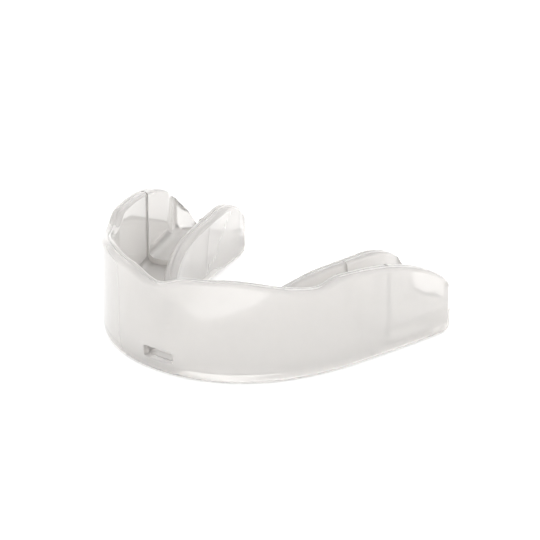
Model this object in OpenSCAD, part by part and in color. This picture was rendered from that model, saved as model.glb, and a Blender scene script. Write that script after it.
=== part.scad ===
// Clear boil-and-bite sports mouthguard for the upper teeth.
// A firm U-section frame holds a soft lining and two thicker molar pads.
// Origin: middle of the footprint, on the base. Front -Y, arms towards +Y, up +Z.

/* [Arch] */
// Outer radius of the front curve
front_r = 24.1; // [23.6:0.1:24.8]
// Degrees that the front curve turns on each side of the midline
front_turn = 57; // [54:1:60]
// Outer radius of the easier curve behind the eye tooth
side_r = 42; // [38:1:46]
// Degrees that the easier curve turns
side_turn = 16.5; // [14:0.5:18]
// Outer radius of the nearly straight molar arms
arm_r = 390; // [300:10:600]
// Length of each molar arm
arm_len = 22.5; // [21:0.5:25]
// Width over both walls at the midline, at the base
front_span = 9.9; // [9.6:0.1:10.6]
// Width over both walls at the rear ends, at the base
rear_span = 15.1; // [14.4:0.1:15.8]

/* [Rims] */
// Height of the lip-side rim at the front
front_rim = 18.7; // [17.5:0.1:20]
// Depth of the notch for the lip's frenum, at the midline
notch_depth = 1.8; // [1:0.1:2.4]
// Height of the lip-side rim at its dip beside the premolars
dip_rim = 15.7; // [14.5:0.1:16.5]
// Height of the cheek-side lobe beside the first molar
lobe_rim = 16.8; // [16.5:0.1:17.6]
// Height of the cheek wall where the arm ends
cheek_end = 4.3; // [4.3:0.1:6]
// Height of the tongue-side rim at the midline
tongue_front_rim = 6.8; // [6:0.1:8]
// Height of the tongue-side lobe
tongue_rim = 12.3; // [11:0.1:14]
// Height of the tongue wall where the arm ends
tongue_end = 4.7; // [4.5:0.1:7]

/* [Layers] */
// Thickness of the frame's walls
wall_t = 1.3; // [1.1:0.1:1.5]
// Thickness of the frame's floor
floor_t = 1.3; // [1.2:0.1:1.5]
// Thickness of the lining on the walls
lining_t = 1; // [0.8:0.1:1.2]
// Thickness of the lining on the floor
lining_floor = 0.9; // [0.8:0.1:1]
// Thickness of the molar pads on the walls
pad_t = 1.15; // [1:0.05:1.4]
// Thickness of the molar pads on the floor
pad_floor = 1.9; // [1.4:0.1:2]
// Share of the half arch at which the molar pads start
pad_start = 0.74; // [0.7:0.01:0.85]
// Length of the frame's heel behind each molar pad
heel_len = 2.2; // [1.8:0.1:2.8]

/* [Strap slot] */
// Width of the slot for a strap tab
slot_w = 6; // [5:0.5:8]
// Height of the slot
slot_h = 2.1; // [1.6:0.1:2.4]
// Height of the slot's lower edge over the base
slot_z = 2.35; // [2.25:0.05:2.6]
// Depth of the slot from the front face
slot_depth = 4.2; // [3.8:0.1:5]

/* [Hidden] */

base_fillet = 0.9;        // round of the outer base edges
end_fillet = 1.9;         // round of the base edges at the very end of an arm
end_fillet_len = 5;       // length over which the base round grows
rim_round = 0.8;          // round of the frame's outer rim edges
lining_round = 0.6;       // round of the lining's rim edges
frame_fillet = 0.7;       // round between the frame's floor and its walls
lining_fillet = 1.5;      // round between the lining's floor and its walls
cheek_corner = 3.8;       // plan radius of the rear outer corners
tongue_corner = 1.2;      // plan radius of the rear inner corners
span_growth = 1.25;       // power by which the floor widens along the arch
lip_flare = 2;          // outward lean of the lip wall at its rim
tongue_lean = 2.2;          // inward lean of the tongue wall at its rim, at the midline
flare_end = 0.45;         // share of the half arch where that lean has died out
slot_corner = 0.4;        // corner radius of the strap slot
heel_step = 0.15;         // length of the steep face between a pad's end and the heel
pad_taper = 4;            // length over which a pad's walls thin out in front of the heel
pad_tip = 0.35;           // thickness of a pad's walls at the heel
tip_flat = 0.15;          // least flat top left beside a lining's rim round
wall_slant = 0.8;         // least cosine that the wall is thickened by at a rear corner

notch_len = 6;          // half width of the frenum notch
hump_from = 0.2;         // shares of the half arch at which the rim heights lie
dip_at = 0.49;
lobe_at = 0.56;
tongue_lobe_from = 0.67;
tongue_lobe_to = 0.82;

front_steps = 36;         // stations from the midline to the pads
rear_steps = 16;          // stations along each pad and heel
arc_steps = 3;            // facets in each small round

frame_colour = [0.86, 0.85, 0.83, 0.55];
soft_colour = [0.90, 0.89, 0.87, 0.55];

// Lengths along the outer face, from the midline to the end of each stretch
front_len = front_r * front_turn * PI / 180;
side_len = front_len + side_r * side_turn * PI / 180;
half_len = side_len + arm_len;
arm_turn = front_turn + side_turn;

// Heading of the outer face at length s
function heading(s) =
    s < front_len ? s / front_r * 180 / PI :
    s < side_len ? front_turn + (s - front_len) / side_r * 180 / PI :
    arm_turn + (s - side_len) / arm_r * 180 / PI;

// End of an arc of radius r that starts at p with heading a0 and ends with heading a1
function arc_end(p, r, a0, a1) = p + r * [sin(a1) - sin(a0), cos(a0) - cos(a1)];

// Where the side curve and the arm start, with the front centre at the origin
side_start = arc_end([0, 0], front_r, 0, front_turn);
arm_start = arc_end(side_start, side_r, front_turn, arm_turn);

// Point of the outer face at length s, with the front centre at the origin
function outline(s) =
    s < front_len ? arc_end([0, 0], front_r, 0, heading(s)) :
    s < side_len ? arc_end(side_start, side_r, front_turn, heading(s)) :
    arc_end(arm_start, arm_r, arm_turn, heading(s));

function limit(q) = max(0, min(1, q));
function ease(q) = let (p = limit(q)) p * p * (3 - 2 * p);
function blend(u, u0, z0, u1, z1) = z0 + (z1 - z0) * ease((u - u0) / (u1 - u0));
function quarter_round(u, u0, z0, z1) = z1 + (z0 - z1) * sqrt(1 - pow(limit((u - u0) / (1 - u0)), 2));

// Rim heights at share u of the half arch
function lip_rim(u) =
    u < dip_at ? blend(u, hump_from, front_rim, dip_at, dip_rim)
                 - notch_depth * (1 - ease(u * half_len / notch_len)) :
    u < lobe_at ? blend(u, dip_at, dip_rim, lobe_at, lobe_rim) :
    quarter_round(u, lobe_at, lobe_rim, cheek_end);
function tongue_wall_rim(u) =
    u < tongue_lobe_to ? blend(u, 0, tongue_front_rim, tongue_lobe_from, tongue_rim) :
    quarter_round(u, tongue_lobe_to, tongue_rim, tongue_end);

// Share of the way through the last stretch of length r before the end, at share u
function near_end(u, r) = limit(1 + (u * half_len - half_len) / r);

// How far a rear corner of plan radius r draws the face in at share u
function corner_inset(u, r) = r * (1 - sqrt(1 - pow(near_end(u, r), 2)));

// Factor by which a wall is thicker across the arm where it follows that corner
function slant(u, r) = 1 / max(wall_slant, sqrt(1 - pow(near_end(u, r), 2)));

// Radius of the round of the outer base edges at share u
function base_round(u) =
    base_fillet + (end_fillet - base_fillet) * (1 - sqrt(1 - pow(near_end(u, end_fillet_len), 2)));

// Height of the frame's floor, which steps up to the heel behind the pads
function seat_z(u) = floor_t + pad_floor * limit((u - pad_end) / heel_share);

// Distances inwards of the two outside faces at share u
function lip_face(u) = corner_inset(u, cheek_corner);
function tongue_face(u) =
    front_span + (rear_span - front_span) * pow(u, span_growth) - corner_inset(u, tongue_corner);

// Small round: centre [o, z], radius r, from angle a0 to a1
function round_pts(c, r, a0, a1) =
    [for (i = [0 : arc_steps]) let (a = a0 + (a1 - a0) * i / arc_steps) c + r * [cos(a), sin(a)]];

// The frame's inner line, from the lip rim down, across the floor and up to the tongue rim
function seat_line(u) =
    let (o = lip_face(u) + wall_t * slant(u, cheek_corner), i = tongue_face(u) - wall_t,
         r = frame_fillet, z = seat_z(u) + r)
    concat([[o, lip_rim(u)]],
           round_pts([o + r, z], r, 180, 270),
           round_pts([i - r, z], r, 270, 360),
           [[i, tongue_wall_rim(u)]]);

// Section of the frame as [distance inwards, height]
function frame_section(u) =
    let (o = lip_face(u), i = tongue_face(u), zo = lip_rim(u), zi = tongue_wall_rim(u),
         b = base_round(u))
    concat(seat_line(u),
           round_pts([i - rim_round, zi - rim_round], rim_round, 90, 0),
           round_pts([i - b, b], b, 0, -90),
           round_pts([o + b, b], b, -90, -180),
           round_pts([o + rim_round, zo - rim_round], rim_round, 180, 90));

// Section of a layer of wall thickness t and floor thickness f lying in the frame
function layer_section(u, t, f) =
    let (o = lip_face(u) + (wall_t + t) * slant(u, cheek_corner), i = tongue_face(u) - wall_t - t,
         r = lining_fillet, k = min(lining_round, t - tip_flat), z = floor_t + f + r,
         zo = lip_rim(u), zi = tongue_wall_rim(u))
    concat(seat_line(u),
           round_pts([i + k, zi - k], k, 90, 180),
           round_pts([i - r, z], r, 0, -90),
           round_pts([o + r, z], r, 270, 180),
           round_pts([o - k, zo - k], k, 0, 90));

// Thickness of a pad's walls at share u
function pad_wall(u) = blend(u, pad_end - pad_taper / half_len, pad_t, pad_end, pad_tip);

// Stands a section point up at share u of the half arch, on the +X side
function stand(u, p) =
    let (a = heading(u * half_len), c = outline(u * half_len),
         flare = lip_flare * pow(cos(90 * limit(u / flare_end)), 2) / front_rim,
         lean = tongue_lean * (1 - u * u) / tongue_rim,
         o = p.x < tongue_face(u) / 2 ? p.x - flare * p.y : p.x + lean * p.y)
    [c.x - o * sin(a), c.y + o * cos(a), p.y];

// Places a section point at signed share u of the arch, centred fore and aft
function place(u, p) =
    let (q = stand(abs(u), p))
    [u < 0 ? -q.x : q.x, q.y - mid_y, q.z];

// Shares of the half arch at which sections are taken, closer together at the rear round
pad_end = 1 - heel_len / half_len;
heel_share = heel_step / half_len;
front_shares = [for (i = [0 : front_steps]) pad_start * i / front_steps];
rear_shares = [for (i = [0 : rear_steps]) pad_start + (1 - pad_start) * sin(90 * i / rear_steps)];
pad_shares = concat([for (u = rear_shares) if (u < pad_end - heel_share) u], [pad_end]);
heel_shares = concat([pad_end + heel_share], [for (u = rear_shares) if (u > pad_end + 2 * heel_share) u]);
frame_shares = concat(front_shares, [for (i = [1 : len(pad_shares) - 1]) pad_shares[i]], heel_shares);

// Foremost and rearmost reach of the frame, and the middle between them
front_y = min([for (u = front_shares, p = frame_section(u)) stand(u, p).y]);
rear_y = max([for (u = heel_shares, p = frame_section(u)) stand(u, p).y]);
mid_y = (front_y + rear_y) / 2;

// The same shares on both sides of the midline, from one end to the other
function both_sides(shares) =
    concat([for (i = [len(shares) - 1 : -1 : 1]) -shares[i]], shares);

// A section's area as three faces: the lip wall, the floor and the tongue wall
function end_caps() =
    let (r = arc_steps + 1, a = floor(r / 2), b = 2 * r + 1 - a, c = 4 * r - 1, d = 5 * r)
    [concat([for (i = [0 : a]) i], [for (i = [d : 6 * r + 1]) i]),
     concat([for (i = [a : b]) i], [for (i = [c : d]) i]),
     [for (i = [b : c]) i]];
function turned(list) = [for (i = [len(list) - 1 : -1 : 0]) list[i]];

// Closed skin over a row of sections. An inner layer splits its faces the other way,
// so that its outside lies exactly on the frame's inside.
module skin(sections, inner = false) {
    n = len(sections[0]);
    last = len(sections) - 1;
    sides = [for (k = [0 : last - 1], j = [0 : n - 1])
        let (a = k * n + j, b = k * n + (j + 1) % n, c = b + n, d = a + n)
        each (inner ? [[a, c, b], [a, d, c]] : [[a, b, c], [a, c, d]])];
    start = [for (c = end_caps()) inner ? c : turned(c)];
    end = [for (c = end_caps()) [for (j = inner ? turned(c) : c) last * n + j]];
    polyhedron(points = [for (s = sections) each s], faces = concat(start, sides, end));
}

// Slot through the lip wall, low at the midline
module strap_slot() {
    straight_w = slot_w - 2 * slot_corner;
    straight_h = slot_h - 2 * slot_corner;
    proud = 2;
    translate([0, slot_depth - mid_y, slot_z + slot_h / 2]) rotate([90, 0, 0])
        linear_extrude(slot_depth + proud) {
            square([straight_w, slot_h], center = true);
            square([slot_w, straight_h], center = true);
            for (x = [-1, 1], y = [-1, 1])
                translate([x * straight_w / 2, y * straight_h / 2]) circle(slot_corner, $fn = 16);
        }
}

module outer_shell() {
    color(frame_colour) difference() {
        skin([for (u = both_sides(frame_shares)) [for (p = frame_section(abs(u))) place(u, p)]]);
        strap_slot();
    }
}

module fitting_liner() {
    color(soft_colour) difference() {
        skin([for (u = both_sides(front_shares))
            [for (p = layer_section(abs(u), lining_t, lining_floor)) place(u, p)]], inner = true);
        strap_slot();
    }
}

// side is 1 for the wearer's left, -1 for the right
module molar_pad(side) {
    shares = side > 0 ? pad_shares : turned(pad_shares);
    color(soft_colour)
        skin([for (u = shares) [for (p = layer_section(u, pad_wall(u), pad_floor)) place(side * u, p)]],
            inner = true);
}

module molar_pad_left() {
    molar_pad(1);
}

module molar_pad_right() {
    molar_pad(-1);
}

outer_shell();
fitting_liner();
molar_pad_left();
molar_pad_right();
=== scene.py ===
import math

import bmesh
import bpy
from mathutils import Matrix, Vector


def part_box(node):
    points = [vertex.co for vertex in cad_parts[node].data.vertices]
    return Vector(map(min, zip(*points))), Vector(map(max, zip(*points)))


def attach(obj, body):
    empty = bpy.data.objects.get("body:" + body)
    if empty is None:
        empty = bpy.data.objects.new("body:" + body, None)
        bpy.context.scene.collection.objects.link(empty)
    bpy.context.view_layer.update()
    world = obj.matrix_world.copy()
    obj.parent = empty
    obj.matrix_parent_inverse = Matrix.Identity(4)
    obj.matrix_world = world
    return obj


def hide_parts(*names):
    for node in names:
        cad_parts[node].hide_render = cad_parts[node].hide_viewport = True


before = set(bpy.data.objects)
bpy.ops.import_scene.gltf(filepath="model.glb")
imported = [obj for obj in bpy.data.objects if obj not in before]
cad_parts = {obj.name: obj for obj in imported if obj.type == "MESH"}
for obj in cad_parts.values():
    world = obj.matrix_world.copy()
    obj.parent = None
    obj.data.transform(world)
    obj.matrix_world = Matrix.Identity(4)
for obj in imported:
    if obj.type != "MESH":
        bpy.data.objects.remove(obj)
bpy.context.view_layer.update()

# ---- Frame --------------------------------------------------------------------------
# The firm outer part of the guard: a U-section channel that runs round the whole arch.
# It is injection moulded in one shot of clear EVA, with a low heel behind each molar,
# a notch for the lip's frenum and a slot low at the front for a strap's tab.

MM = 0.001

front_r, front_turn = 24.1, math.radians(57)
side_r, side_turn = 42, math.radians(16.5)
arm_r, arm_len = 390, 22.5
front_span, rear_span, span_growth = 9.9, 15.1, 1.25

front_rim, notch_depth, notch_len = 18.7, 1.8, 6
dip_rim, lobe_rim, cheek_end = 15.7, 16.8, 4.3
tongue_front_rim, tongue_rim, tongue_end = 6.8, 12.3, 4.7
hump_from, dip_at, lobe_at = 0.2, 0.49, 0.56
tongue_lobe_from, tongue_lobe_to = 0.67, 0.82

wall, floor, fillet = 1.3, 1.3, 0.7
rim_round, parting_round = 0.8, 0.12
base_round, end_base_round, end_base_len = 0.9, 1.9, 5
cheek_corner, tongue_corner, end_round = 3.8, 1.2, 0.4
lip_flare, flare_end, tongue_lean = 2, 0.45, 2.2
pad_start, pad_floor, heel_len, heel_step = 0.74, 1.9, 2.2, 0.15
slot_half, slot_low, slot_high, slot_corner, slot_edge = 3, 2.35, 4.45, 0.4, 0.14
nearly, join = 0.01, 0.02

front_len = front_r * front_turn
side_len = front_len + side_r * side_turn
half_len = side_len + arm_len
arm_turn = front_turn + side_turn
pad_end = 1 - heel_len / half_len


def heading(s):
    if s < front_len:
        return s / front_r
    if s < side_len:
        return front_turn + (s - front_len) / side_r
    return arm_turn + (s - side_len) / arm_r


def arc_end(start, r, a0, a1):
    return start + r * Vector((math.sin(a1) - math.sin(a0), math.cos(a0) - math.cos(a1)))


side_start = arc_end(Vector((0, 0)), front_r, 0, front_turn)
arm_start = arc_end(side_start, side_r, front_turn, arm_turn)


def outline(s):
    if s < front_len:
        return arc_end(Vector((0, 0)), front_r, 0, heading(s))
    if s < side_len:
        return arc_end(side_start, side_r, front_turn, heading(s))
    return arc_end(arm_start, arm_r, arm_turn, heading(s))


def limit(q):
    return max(0, min(1, q))


def blend(u, u0, z0, u1, z1):
    q = limit((u - u0) / (u1 - u0))
    return z0 + (z1 - z0) * q * q * (3 - 2 * q)


def quarter(u, u0, z0, z1):
    return z1 + (z0 - z1) * math.sqrt(1 - limit((u - u0) / (1 - u0)) ** 2)


def near_end(u, length):
    return limit(1 + (u - 1) * half_len / length)


def quarter_inset(u, length):
    return length * (1 - math.sqrt(1 - near_end(u, length) ** 2))


def lip_rim(u):
    if u < dip_at:
        notch = notch_depth * blend(u * half_len, 0, 1, notch_len, 0)
        return blend(u, hump_from, front_rim, dip_at, dip_rim) - notch
    if u < lobe_at:
        return blend(u, dip_at, dip_rim, lobe_at, lobe_rim)
    return quarter(u, lobe_at, lobe_rim, cheek_end)


def tongue_wall_rim(u):
    if u < tongue_lobe_to:
        return blend(u, 0, tongue_front_rim, tongue_lobe_from, tongue_rim)
    return quarter(u, tongue_lobe_to, tongue_rim, tongue_end)


def lip_face(u):
    return quarter_inset(u, cheek_corner)


def tongue_face(u):
    span = front_span + (rear_span - front_span) * u ** span_growth
    return span - quarter_inset(u, tongue_corner)


def slant(u):
    return 1 / max(0.8, math.sqrt(1 - near_end(u, cheek_corner) ** 2))


# A small round of radius r about (x, z), between two angles in degrees
def arc(x, z, r, a0, a1, steps=6):
    angles = [math.radians(a0 + (a1 - a0) * k / steps) for k in range(steps + 1)]
    return [(x + r * math.cos(a), z + r * math.sin(a)) for a in angles]


# Points up a wall, with rows at the slot's edges and close to both ends. Over the heel the
# wall starts above the slot, so its rows are shared out between its foot and its rim.
def column(x, z0, z1):
    squeeze = min(1, 0.75 * (z1 - z0) / (slot_high - z0))
    rows = [slot_low, slot_low + slot_corner, slot_high - slot_corner, slot_high]
    heights = [z0 + (z - z0) * squeeze for z in rows]
    if z0 > slot_low:
        heights = [z0 + (z1 - z0) * q for q in (0.1, 0.2, 0.5, 0.6)]
    top = heights[-1]
    heights += [top + (z1 - top) * k / 6 for k in range(1, 6)]
    return [(x, z) for z in heights + [z1 - (z1 - heights[-1]) * 0.25]]


# Points in each run of a section: a round, a small round at a parting edge, and a wall
round_points, parting_points, wall_points = 7, 3, 10
slot_row_count = 4
lip_first_row = round_points
seat_first_row = lip_first_row + wall_points + round_points + parting_points
seat_first_row += wall_points - slot_row_count


def frame_section(u):
    o, i = lip_face(u), tongue_face(u)
    zo, zi = lip_rim(u), tongue_wall_rim(u)
    seat_o, seat_i = o + wall * slant(u), i - wall
    seat_z = floor + pad_floor * limit((u - pad_end) * half_len / heel_step)
    low = base_round + (end_base_round - base_round) / end_base_len * quarter_inset(u, end_base_len)
    k, r = rim_round, parting_round
    up_lip = column(o, low, zo - k)
    down_seat = column(seat_o, seat_z + fillet, zo - r)[::-1]
    ring = arc(o + low, low, low, 270, 180) + up_lip + arc(o + k, zo - k, k, 180, 90)
    ring += arc(seat_o - r, zo - r, r, 90, 0, 2) + down_seat
    ring += arc(seat_o + fillet, seat_z + fillet, fillet, 180, 270)
    ring += arc(seat_i - fillet, seat_z + fillet, fillet, 270, 360)
    ring += column(seat_i, seat_z + fillet, zi - r) + arc(seat_i + r, zi - r, r, 180, 90, 2)
    ring += arc(i - k, zi - k, k, 90, 0) + column(i, low, zi - k)[::-1]
    ring += arc(i - low, low, low, 0, -90)
    return ring


# Section points moved into the material, for the round at the end of a piece
def shrink(ring, amount):
    if amount == 0:
        return ring
    moved = []
    for k in range(len(ring)):
        before = Vector(ring[k - 1])
        after = Vector(ring[(k + 1) % len(ring)])
        along = (after - before).normalized()
        moved.append((ring[k][0] + along.y * amount, ring[k][1] - along.x * amount))
    return moved


# Stands a section point up at signed share u of the half arch
def stand(u, point):
    a = heading(abs(u) * half_len)
    c = outline(abs(u) * half_len)
    x, z = point
    if x < tongue_face(abs(u)) / 2:
        x -= lip_flare * math.cos(math.pi / 2 * limit(abs(u) / flare_end)) ** 2 * z / front_rim
    else:
        x += tongue_lean * (1 - u * u) * z / tongue_rim
    side = -1 if u < 0 else 1
    return Vector((side * (c.x - x * math.sin(a)), c.y + x * math.cos(a), z)) * MM


# Closed skin over a row of sections, extruded from one station to the next
def sweep(shares, section, ends):
    mesh = bmesh.new()
    corner = mesh.verts.layers.int.new("corner")
    along = mesh.verts.layers.float.new("along")
    first, last = shares[0], shares[-1]
    edges = []
    for number, u in enumerate(shares):
        to_end = min(abs(u - first), abs(u - last)) * half_len
        amount = ends - math.sqrt(ends ** 2 - max(0, ends - to_end) ** 2)
        ring = shrink(section(abs(u)), amount)
        if number == 0:
            verts = [mesh.verts.new() for point in ring]
            for k, vert in enumerate(verts):
                vert[corner] = k
            edges = [mesh.edges.new((verts[k - 1], verts[k])) for k in range(len(verts))]
            start = list(edges)
        else:
            made = bmesh.ops.extrude_edge_only(mesh, edges=edges)["geom"]
            verts = [part for part in made if isinstance(part, bmesh.types.BMVert)]
            rim = set(verts)
            edges = [part for part in made if isinstance(part, bmesh.types.BMEdge)
                     and part.verts[0] in rim and part.verts[1] in rim]
        for vert in verts:
            vert.co = stand(u, ring[vert[corner]])
            vert[along] = u * half_len
    bmesh.ops.edgeloop_fill(mesh, edges=start)
    bmesh.ops.edgeloop_fill(mesh, edges=edges)
    bmesh.ops.recalc_face_normals(mesh, faces=mesh.faces)
    return mesh


# Cuts the slot: takes the faces out of both sides of the lip wall and joins the openings
def cut_slot(mesh, out_row, in_row, rows):
    corner = mesh.verts.layers.int["corner"]
    along = mesh.verts.layers.float["along"]
    mid_z = (slot_low + slot_high) / 2 * MM
    nip = slot_corner * (1 - math.sqrt(0.5))
    openings = []
    for row in (out_row, in_row):
        span = range(row, row + rows)
        inside = [f for f in mesh.faces if all(
            v[corner] in span and abs(v[along]) < slot_half + nearly for v in f.verts)]
        edge_count = {}
        for face in inside:
            for edge in face.edges:
                edge_count[edge] = edge_count.get(edge, 0) + 1
        openings += [edge for edge, count in edge_count.items() if count == 1]
        for vert in {v for f in inside for v in f.verts}:
            at_row = vert[corner] in (row, row + rows - 1)
            if at_row and abs(vert[along]) > slot_half - nearly:
                vert.co.x -= math.copysign(nip * MM, vert.co.x)
                vert.co.z += math.copysign(nip * MM, mid_z - vert.co.z)
        bmesh.ops.delete(mesh, geom=inside, context="FACES_KEEP_BOUNDARY")
    bmesh.ops.bridge_loops(mesh, edges=openings)
    bmesh.ops.bevel(mesh, geom=openings, offset=slot_edge * MM, offset_type="OFFSET",
                    affect="EDGES", segments=3, profile=0.5, material=-1, clamp_overlap=True)
    bmesh.ops.recalc_face_normals(mesh, faces=mesh.faces)


def stretch(a, b, step):
    count = max(1, round((b - a) / step))
    return [a + (b - a) * k / count for k in range(count)]


# Lengths along one side, close together at the slot's corners, the heel and the rear round
side_stations = stretch(0, slot_half - slot_corner, 0.5) + [slot_half - slot_corner, slot_half]
side_stations += stretch(slot_half, half_len - cheek_corner, 0.55)[1:]
rear_round = [half_len - cheek_corner * (1 - math.sin(math.radians(3 * k))) for k in range(31)]
heel_at = half_len - heel_len
side_stations += [s for s in rear_round if s < heel_at - join] + [heel_at, heel_at + heel_step]
side_stations += [s for s in rear_round if s > heel_at + heel_step + join]


def both_sides(stations):
    shares = [s / half_len for s in stations]
    return [-u for u in shares[:0:-1]] + shares


# The whole arch is centred on the frame's box fore and aft
shell_mesh = sweep(both_sides(side_stations), frame_section, end_round)
shell_low, shell_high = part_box("outer_shell")
reach = [v.co.y for v in shell_mesh.verts]
shift = Vector((0, (shell_low[1] + shell_high[1] - min(reach) - max(reach)) / 2, 0))
cut_slot(shell_mesh, lip_first_row, seat_first_row, slot_row_count)


# Centres a finished skin fore and aft, smooths it and makes it a piece
def finish_mesh(name, mesh):
    bmesh.ops.translate(mesh, verts=mesh.verts, vec=shift)
    for face in mesh.faces:
        face.smooth = True
    data = bpy.data.meshes.new(name)
    mesh.to_mesh(data)
    mesh.free()
    data.set_sharp_from_angle(angle=math.radians(50))
    piece = bpy.data.objects.new(name, data)
    bpy.context.collection.objects.link(piece)
    return piece


class Socket:
    """A node's output, on which arithmetic adds Math nodes."""

    def __init__(self, finish, out):
        self.finish, self.out = finish, out

    def math(self, operation, first, second):
        return self.finish.add("ShaderNodeMath", {"operation": operation}, {0: first, 1: second})

    def __add__(self, other):
        return self.math("ADD", self, other)

    def __sub__(self, other):
        return self.math("SUBTRACT", self, other)

    def __rsub__(self, other):
        return self.math("SUBTRACT", other, self)

    def __mul__(self, other):
        return self.math("MULTIPLY", self, other)

    __radd__ = __add__
    __rmul__ = __mul__


class Finish:
    """A material whose nodes are added one at a time."""

    def __init__(self, name):
        self.material = bpy.data.materials.new(name)
        self.material.use_nodes = True
        self.tree = self.material.node_tree
        self.tree.nodes.clear()

    def add(self, kind, settings=None, inputs=None, output=0):
        node = self.tree.nodes.new(kind)
        for name, value in (settings or {}).items():
            setattr(node, name, value)
        for name, value in (inputs or {}).items():
            if isinstance(value, Socket):
                self.tree.links.new(value.out, node.inputs[name])
            else:
                node.inputs[name].default_value = value
        return Socket(self, node.outputs[output]) if node.outputs else None


# Clear EVA: a water-clear resin that moulding leaves faintly hazy. Melt runs leave soft
# upright streaks in the walls, and handling leaves fine dull patches on the surface.
def clear_eva(name, tint, smoke, haze, streaks):
    eva = Finish(name)
    place = eva.add("ShaderNodeTexCoord", output="Object")
    upright = eva.add("ShaderNodeMapping", inputs={"Vector": place, "Scale": (1, 1, 0.12)})
    runs = eva.add("ShaderNodeTexNoise", inputs={"Vector": upright, "Scale": 420, "Detail": 2.0})
    cloud = eva.add("ShaderNodeTexNoise", inputs={"Vector": place, "Scale": 90, "Detail": 3.0})
    scuff = eva.add("ShaderNodeTexNoise", inputs={"Vector": place, "Scale": 1400, "Detail": 3.0})
    colour = eva.add("ShaderNodeMix", {"data_type": "RGBA"},
                     {"Factor": cloud * 0.6 + runs * 0.4, "A": tint[0] + (1,), "B": tint[1] + (1,)},
                     output=2)
    rough = haze + (cloud - 0.5) * 0.12 + (scuff - 0.5) * 0.06
    height = runs * streaks + cloud * 0.5 + scuff * 0.04
    bump = eva.add("ShaderNodeBump", inputs={"Strength": 0.12, "Distance": 0.0002,
                                             "Height": height})
    surface = eva.add("ShaderNodeBsdfPrincipled", {"distribution": "MULTI_GGX"}, {
        "Base Color": colour, "Roughness": rough, "Normal": bump, "IOR": 1.49,
        "Transmission Weight": 0.7, "Coat Weight": 0.05, "Coat Roughness": 0.1})
    body = eva.add("ShaderNodeVolumeAbsorption", inputs={"Color": smoke + (1,), "Density": 1000.0})
    eva.add("ShaderNodeOutputMaterial", inputs={"Surface": surface, "Volume": body})
    return eva.material


shell_finish = clear_eva("firm_clear_eva", ((0.965, 0.948, 0.93), (0.99, 0.978, 0.966)),
                         (0.996, 0.995, 0.993), 0.09, 0.8)
outer_shell = finish_mesh("outer_shell_skin", shell_mesh)
outer_shell.data.materials.append(shell_finish)
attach(outer_shell, "root")
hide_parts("outer_shell")

# ---- Lining -------------------------------------------------------------------------
# The softer layer that lines the frame from the midline back to the molar pads. It is
# clear low-melt EVA, moulded into the frame, and takes the print of the teeth when bitten.

lining, lining_floor, lining_fillet, lining_round = 1, 0.9, 1.5, 0.6
bite = 0.03


# Section of a layer of wall thickness t and floor thickness f that lies in the frame
def layer_section(u, t, f, rows):
    o, i = lip_face(u) + wall * slant(u), tongue_face(u) - wall
    zo, zi = lip_rim(u), tongue_wall_rim(u)
    in_o, in_i = lip_face(u) + (wall + t) * slant(u), i - t
    floor_z = floor + f
    r, k, p = lining_fillet, min(lining_round, t - 0.15), min(parting_round, t / 3)
    inner = [(in_o + r - math.sqrt(r * r - max(0, floor_z + r - z) ** 2), z) for z in rows]
    top = rows[-1]
    lip_rows = [top + (zo - k - top) * q for q in (0.1, 0.3, 0.5, 0.7, 0.9, 0.97)]
    start = math.degrees(math.asin((floor_z + r - rows[0]) / r))
    ring = arc(in_o + r, floor_z + r, r, 270, 180 + start, 3)[:-1] + inner
    ring += [(in_o, z) for z in lip_rows] + arc(in_o - k, zo - k, k, 0, 90)
    ring += arc(o - bite + p, zo - p, p, 90, 180, 2)
    ring += [(o - bite, z) for z in lip_rows[::-1]] + [(o - bite, z) for z in rows[::-1]]
    low = floor - bite
    ring += arc(o - bite + fillet, low + fillet, fillet, 180, 270)
    ring += arc(i + bite - fillet, low + fillet, fillet, 270, 360)
    z0 = floor_z + r
    tongue_rows = [z0 + (zi - k - z0) * q for q in (0.15, 0.4, 0.65, 0.9)]
    ring += [(i + bite, z) for z in tongue_rows] + arc(i + bite - p, zi - p, p, 0, 90, 2)
    ring += arc(in_i + k, zi - k, k, 90, 180) + [(in_i, z) for z in tongue_rows[::-1]]
    ring += arc(in_i - r, floor_z + r, r, 0, -90)
    return ring


layer_end, layer_gap = 0.1, -join
slot_rows = [slot_low, slot_low + slot_corner, 3.1, 3.4, 3.7, slot_high - slot_corner, slot_high]


def lining_section(u):
    return layer_section(u, lining, lining_floor, slot_rows)


def end_stations(end):
    return [end - layer_end * (1 - math.sin(math.radians(18 * k))) for k in range(6)]


lining_end = pad_start * half_len - layer_gap / 2
lining_stations = [s for s in side_stations if s < lining_end - 0.3] + end_stations(lining_end)
lining_mesh = sweep(both_sides(lining_stations), lining_section, layer_end)
inner_row, lip_row_count = 3, 6
lip_outer_row = inner_row + len(slot_rows) + lip_row_count + round_points
lip_outer_row += parting_points + lip_row_count
cut_slot(lining_mesh, lip_outer_row, inner_row, len(slot_rows))

soft_finish = clear_eva("soft_clear_eva", ((0.97, 0.953, 0.935), (0.99, 0.978, 0.966)),
                        (0.997, 0.996, 0.994), 0.09, 1.2)
fitting_liner = finish_mesh("fitting_liner_skin", lining_mesh)
fitting_liner.data.materials.append(soft_finish)
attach(fitting_liner, "root")
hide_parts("fitting_liner")

# ---- Molar pads ---------------------------------------------------------------------
# Two thicker channel-shaped cushions that take the bite of the molars. They are the same
# soft EVA as the lining, and each one lies in the frame between the lining and the heel.

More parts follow.
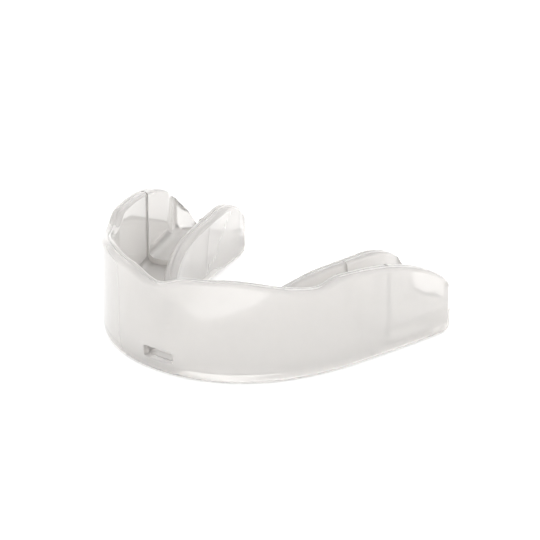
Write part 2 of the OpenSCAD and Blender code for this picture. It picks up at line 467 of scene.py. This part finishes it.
pad, pad_tip, pad_taper = 1.15, 0.35, 4
pad_rows = [3.6, 4.0, 4.35]
pad_from = pad_start * half_len + layer_gap / 2
pad_to = heel_at + heel_step + join
pad_stations = [pad_from + pad_to - s for s in end_stations(pad_to)][::-1]
pad_stations += stretch(pad_from + layer_end, pad_to - layer_end, 0.45)[1:] + end_stations(pad_to)


def pad_section(u):
    t = blend(u, pad_end - pad_taper / half_len, pad, pad_end, pad_tip)
    return layer_section(u, t, pad_floor, pad_rows)


for side, node in ((1, "molar_pad_left"), (-1, "molar_pad_right")):
    shares = [side * s / half_len for s in pad_stations]
    molar_pad = finish_mesh(node + "_skin", sweep(shares, pad_section, layer_end))
    molar_pad.data.materials.append(soft_finish)
    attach(molar_pad, "root")
    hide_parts(node)

# ---- Table, light and camera --------------------------------------------------------
# A plain white table that glows faintly, inside a white light tent that shines evenly from
# every side. There are no lamps, and the even light keeps the clear walls pale.

bpy.ops.mesh.primitive_plane_add(size=6, location=(0, 0, -0.0001))
table = bpy.context.object
table.name = "table"
table_finish = Finish("white_table")
table_surface = table_finish.add("ShaderNodeBsdfPrincipled", inputs={
    "Base Color": (0.8, 0.8, 0.8, 1), "Roughness": 0.7,
    "Emission Color": (1, 1, 1, 1), "Emission Strength": 0.3})
table_finish.add("ShaderNodeOutputMaterial", inputs={"Surface": table_surface})
table.data.materials.append(table_finish.material)

world = bpy.data.worlds.new("studio")
world.use_nodes = True
bpy.context.scene.world = world
sky = world.node_tree.nodes["Background"]
sky.inputs["Color"].default_value = (1, 1, 1, 1)
sky.inputs["Strength"].default_value = 1.45

azimuth, elevation, distance, view_width = math.radians(36.12), math.radians(24.985), 0.7, 0.0922
aim = Vector((2.26, 5.86, 8.76)) * MM
back = Vector((math.sin(azimuth) * math.cos(elevation), -math.cos(azimuth) * math.cos(elevation),
               math.sin(elevation)))
camera = bpy.data.objects.new("camera", bpy.data.cameras.new("camera"))
bpy.context.collection.objects.link(camera)
camera.location = aim + back * distance
camera.rotation_euler = back.to_track_quat("Z", "Y").to_euler()
camera.data.sensor_width = 36
camera.data.lens = 36 * distance / view_width
bpy.context.scene.camera = camera
bpy.context.scene.view_settings.view_transform = "Standard"
for kind in ("max_bounces", "transmission_bounces", "glossy_bounces", "diffuse_bounces"):
    setattr(bpy.context.scene.cycles, kind, 40)
